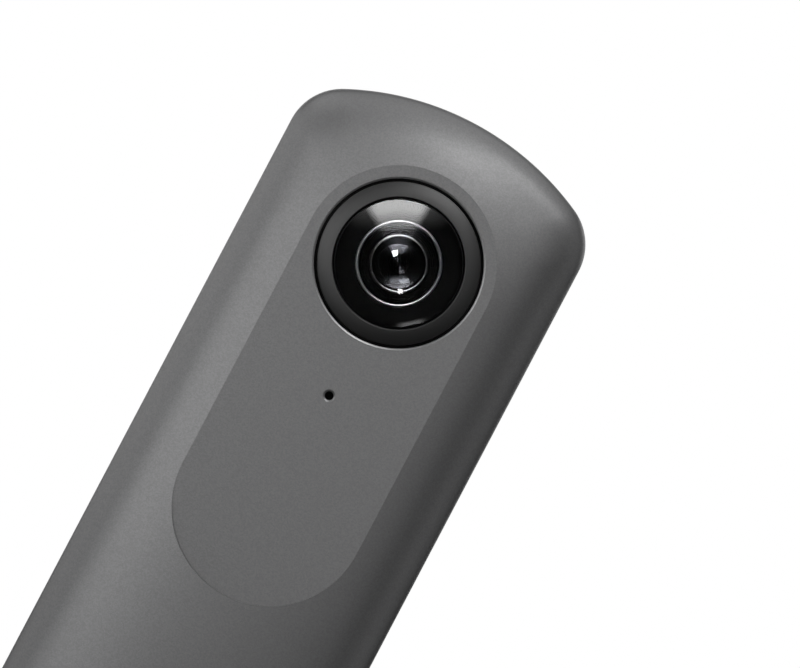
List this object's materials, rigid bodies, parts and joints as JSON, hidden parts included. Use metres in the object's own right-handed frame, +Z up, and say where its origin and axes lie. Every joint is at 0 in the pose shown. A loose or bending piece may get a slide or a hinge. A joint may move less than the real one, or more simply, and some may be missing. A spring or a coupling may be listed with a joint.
{
  "type": "360 degree camera",
  "caption": "Slim grey panoramic camera bar with a domed fisheye lens on each face, raised flat pads, shutter and side buttons, tripod thread, USB port and microphone jack.",
  "frame": {"origin": "centre of the base, on the surface it stands on", "axes": "+Z up to the lens end, -Y out of the face without a button, +X to the side with the three small buttons"},
  "size_m": [0.0452, 0.0228, 0.1306],
  "materials": {
    "shell_paint": "satin metallic grey paint",
    "button_paint": "satin metallic grey paint",
    "base_plastic": "fine matte grain",
    "chassis_metal": "cast, matte",
    "socket_metal": "nickel-plated",
    "screw_steel": "dark zinc",
    "ring_black": "satin black anodised",
    "seal_rubber": "matte",
    "barrel_black": "matte black",
    "dome_glass": "polished, coated",
    "bright_metal": "polished bevel",
    "inner_metal": "polished bevel",
    "element_glass": "polished, coated",
    "prism_glass": "polished",
    "housing_metal": "black anodised",
    "sensor_face": "gloss",
    "circuit_board": "solder mask",
    "flat_cable": "polyimide film",
    "shield_steel": "tinned",
    "chip_black": "moulded",
    "spreader_metal": "plain sheet",
    "battery_wrap": "foil wrap",
    "tape_white": "film",
    "part_black": "moulded",
    "mic_metal": "gold-plated",
    "lamp_clear": "frosted clear"
  },
  "bodies": {
    "camera": {"front_shell": "shell_paint", "rear_shell": "shell_paint", "bottom_plate": "base_plastic", "chassis": "chassis_metal", "tripod_socket": "socket_metal", "bottom_screws": "screw_steel", "chassis_screws": "screw_steel", "front_lens_ring": "ring_black", "rear_lens_ring": "ring_black", "front_lens_seal": "seal_rubber", "rear_lens_seal": "seal_rubber", "front_lens_barrel": "barrel_black", "rear_lens_barrel": "barrel_black", "front_dome_lens": "dome_glass", "rear_dome_lens": "dome_glass", "front_retainer_ring": "bright_metal", "rear_retainer_ring": "bright_metal", "front_second_lens": "element_glass", "rear_second_lens": "element_glass", "front_inner_ring": "inner_metal", "rear_inner_ring": "inner_metal", "front_third_lens": "element_glass", "rear_third_lens": "element_glass", "lens_housing": "housing_metal", "front_prism": "prism_glass", "rear_prism": "prism_glass", "left_relay_cell": "barrel_black", "right_relay_cell": "barrel_black", "left_relay_lens": "element_glass", "right_relay_lens": "element_glass", "left_image_sensor": "sensor_face", "right_image_sensor": "sensor_face", "left_sensor_board": "circuit_board", "right_sensor_board": "circuit_board", "sensor_flexes": "flat_cable", "lens_unit_screws": "screw_steel", "main_board": "circuit_board", "board_screws": "screw_steel", "shield_can": "shield_steel", "processor": "chip_black", "memory_chip": "chip_black", "heat_spreader": "spreader_metal", "battery": "battery_wrap", "battery_tape": "tape_white", "front_board": "circuit_board", "usb_socket": "shield_steel", "mic_jack": "part_black", "speaker": "part_black", "microphones": "mic_metal", "mic_boots": "seal_rubber", "side_board": "circuit_board", "side_switches": "part_black", "shutter_switch": "part_black", "indicator_leds": "lamp_clear", "light_pipes": "lamp_clear"},
    "shutter": {"shutter_button": "button_paint"},
    "power": {"power_button": "button_paint"},
    "wireless": {"wireless_button": "button_paint"},
    "mode": {"mode_button": "button_paint"}
  },
  "joints": [
    {"name": "shutter_press", "type": "slide", "parent": "camera", "child": "shutter", "axis": [0, -1, 0], "range_m": [0, 0.0005], "stiffness_N_per_m": 600},
    {"name": "power_press", "type": "slide", "parent": "camera", "child": "power", "axis": [-1, 0, 0], "range_m": [0, 0.0004], "stiffness_N_per_m": 500},
    {"name": "wireless_press", "type": "slide", "parent": "camera", "child": "wireless", "axis": [-1, 0, 0], "range_m": [0, 0.0004], "stiffness_N_per_m": 500},
    {"name": "mode_press", "type": "slide", "parent": "camera", "child": "mode", "axis": [-1, 0, 0], "range_m": [0, 0.0004], "stiffness_N_per_m": 500}
  ]
}
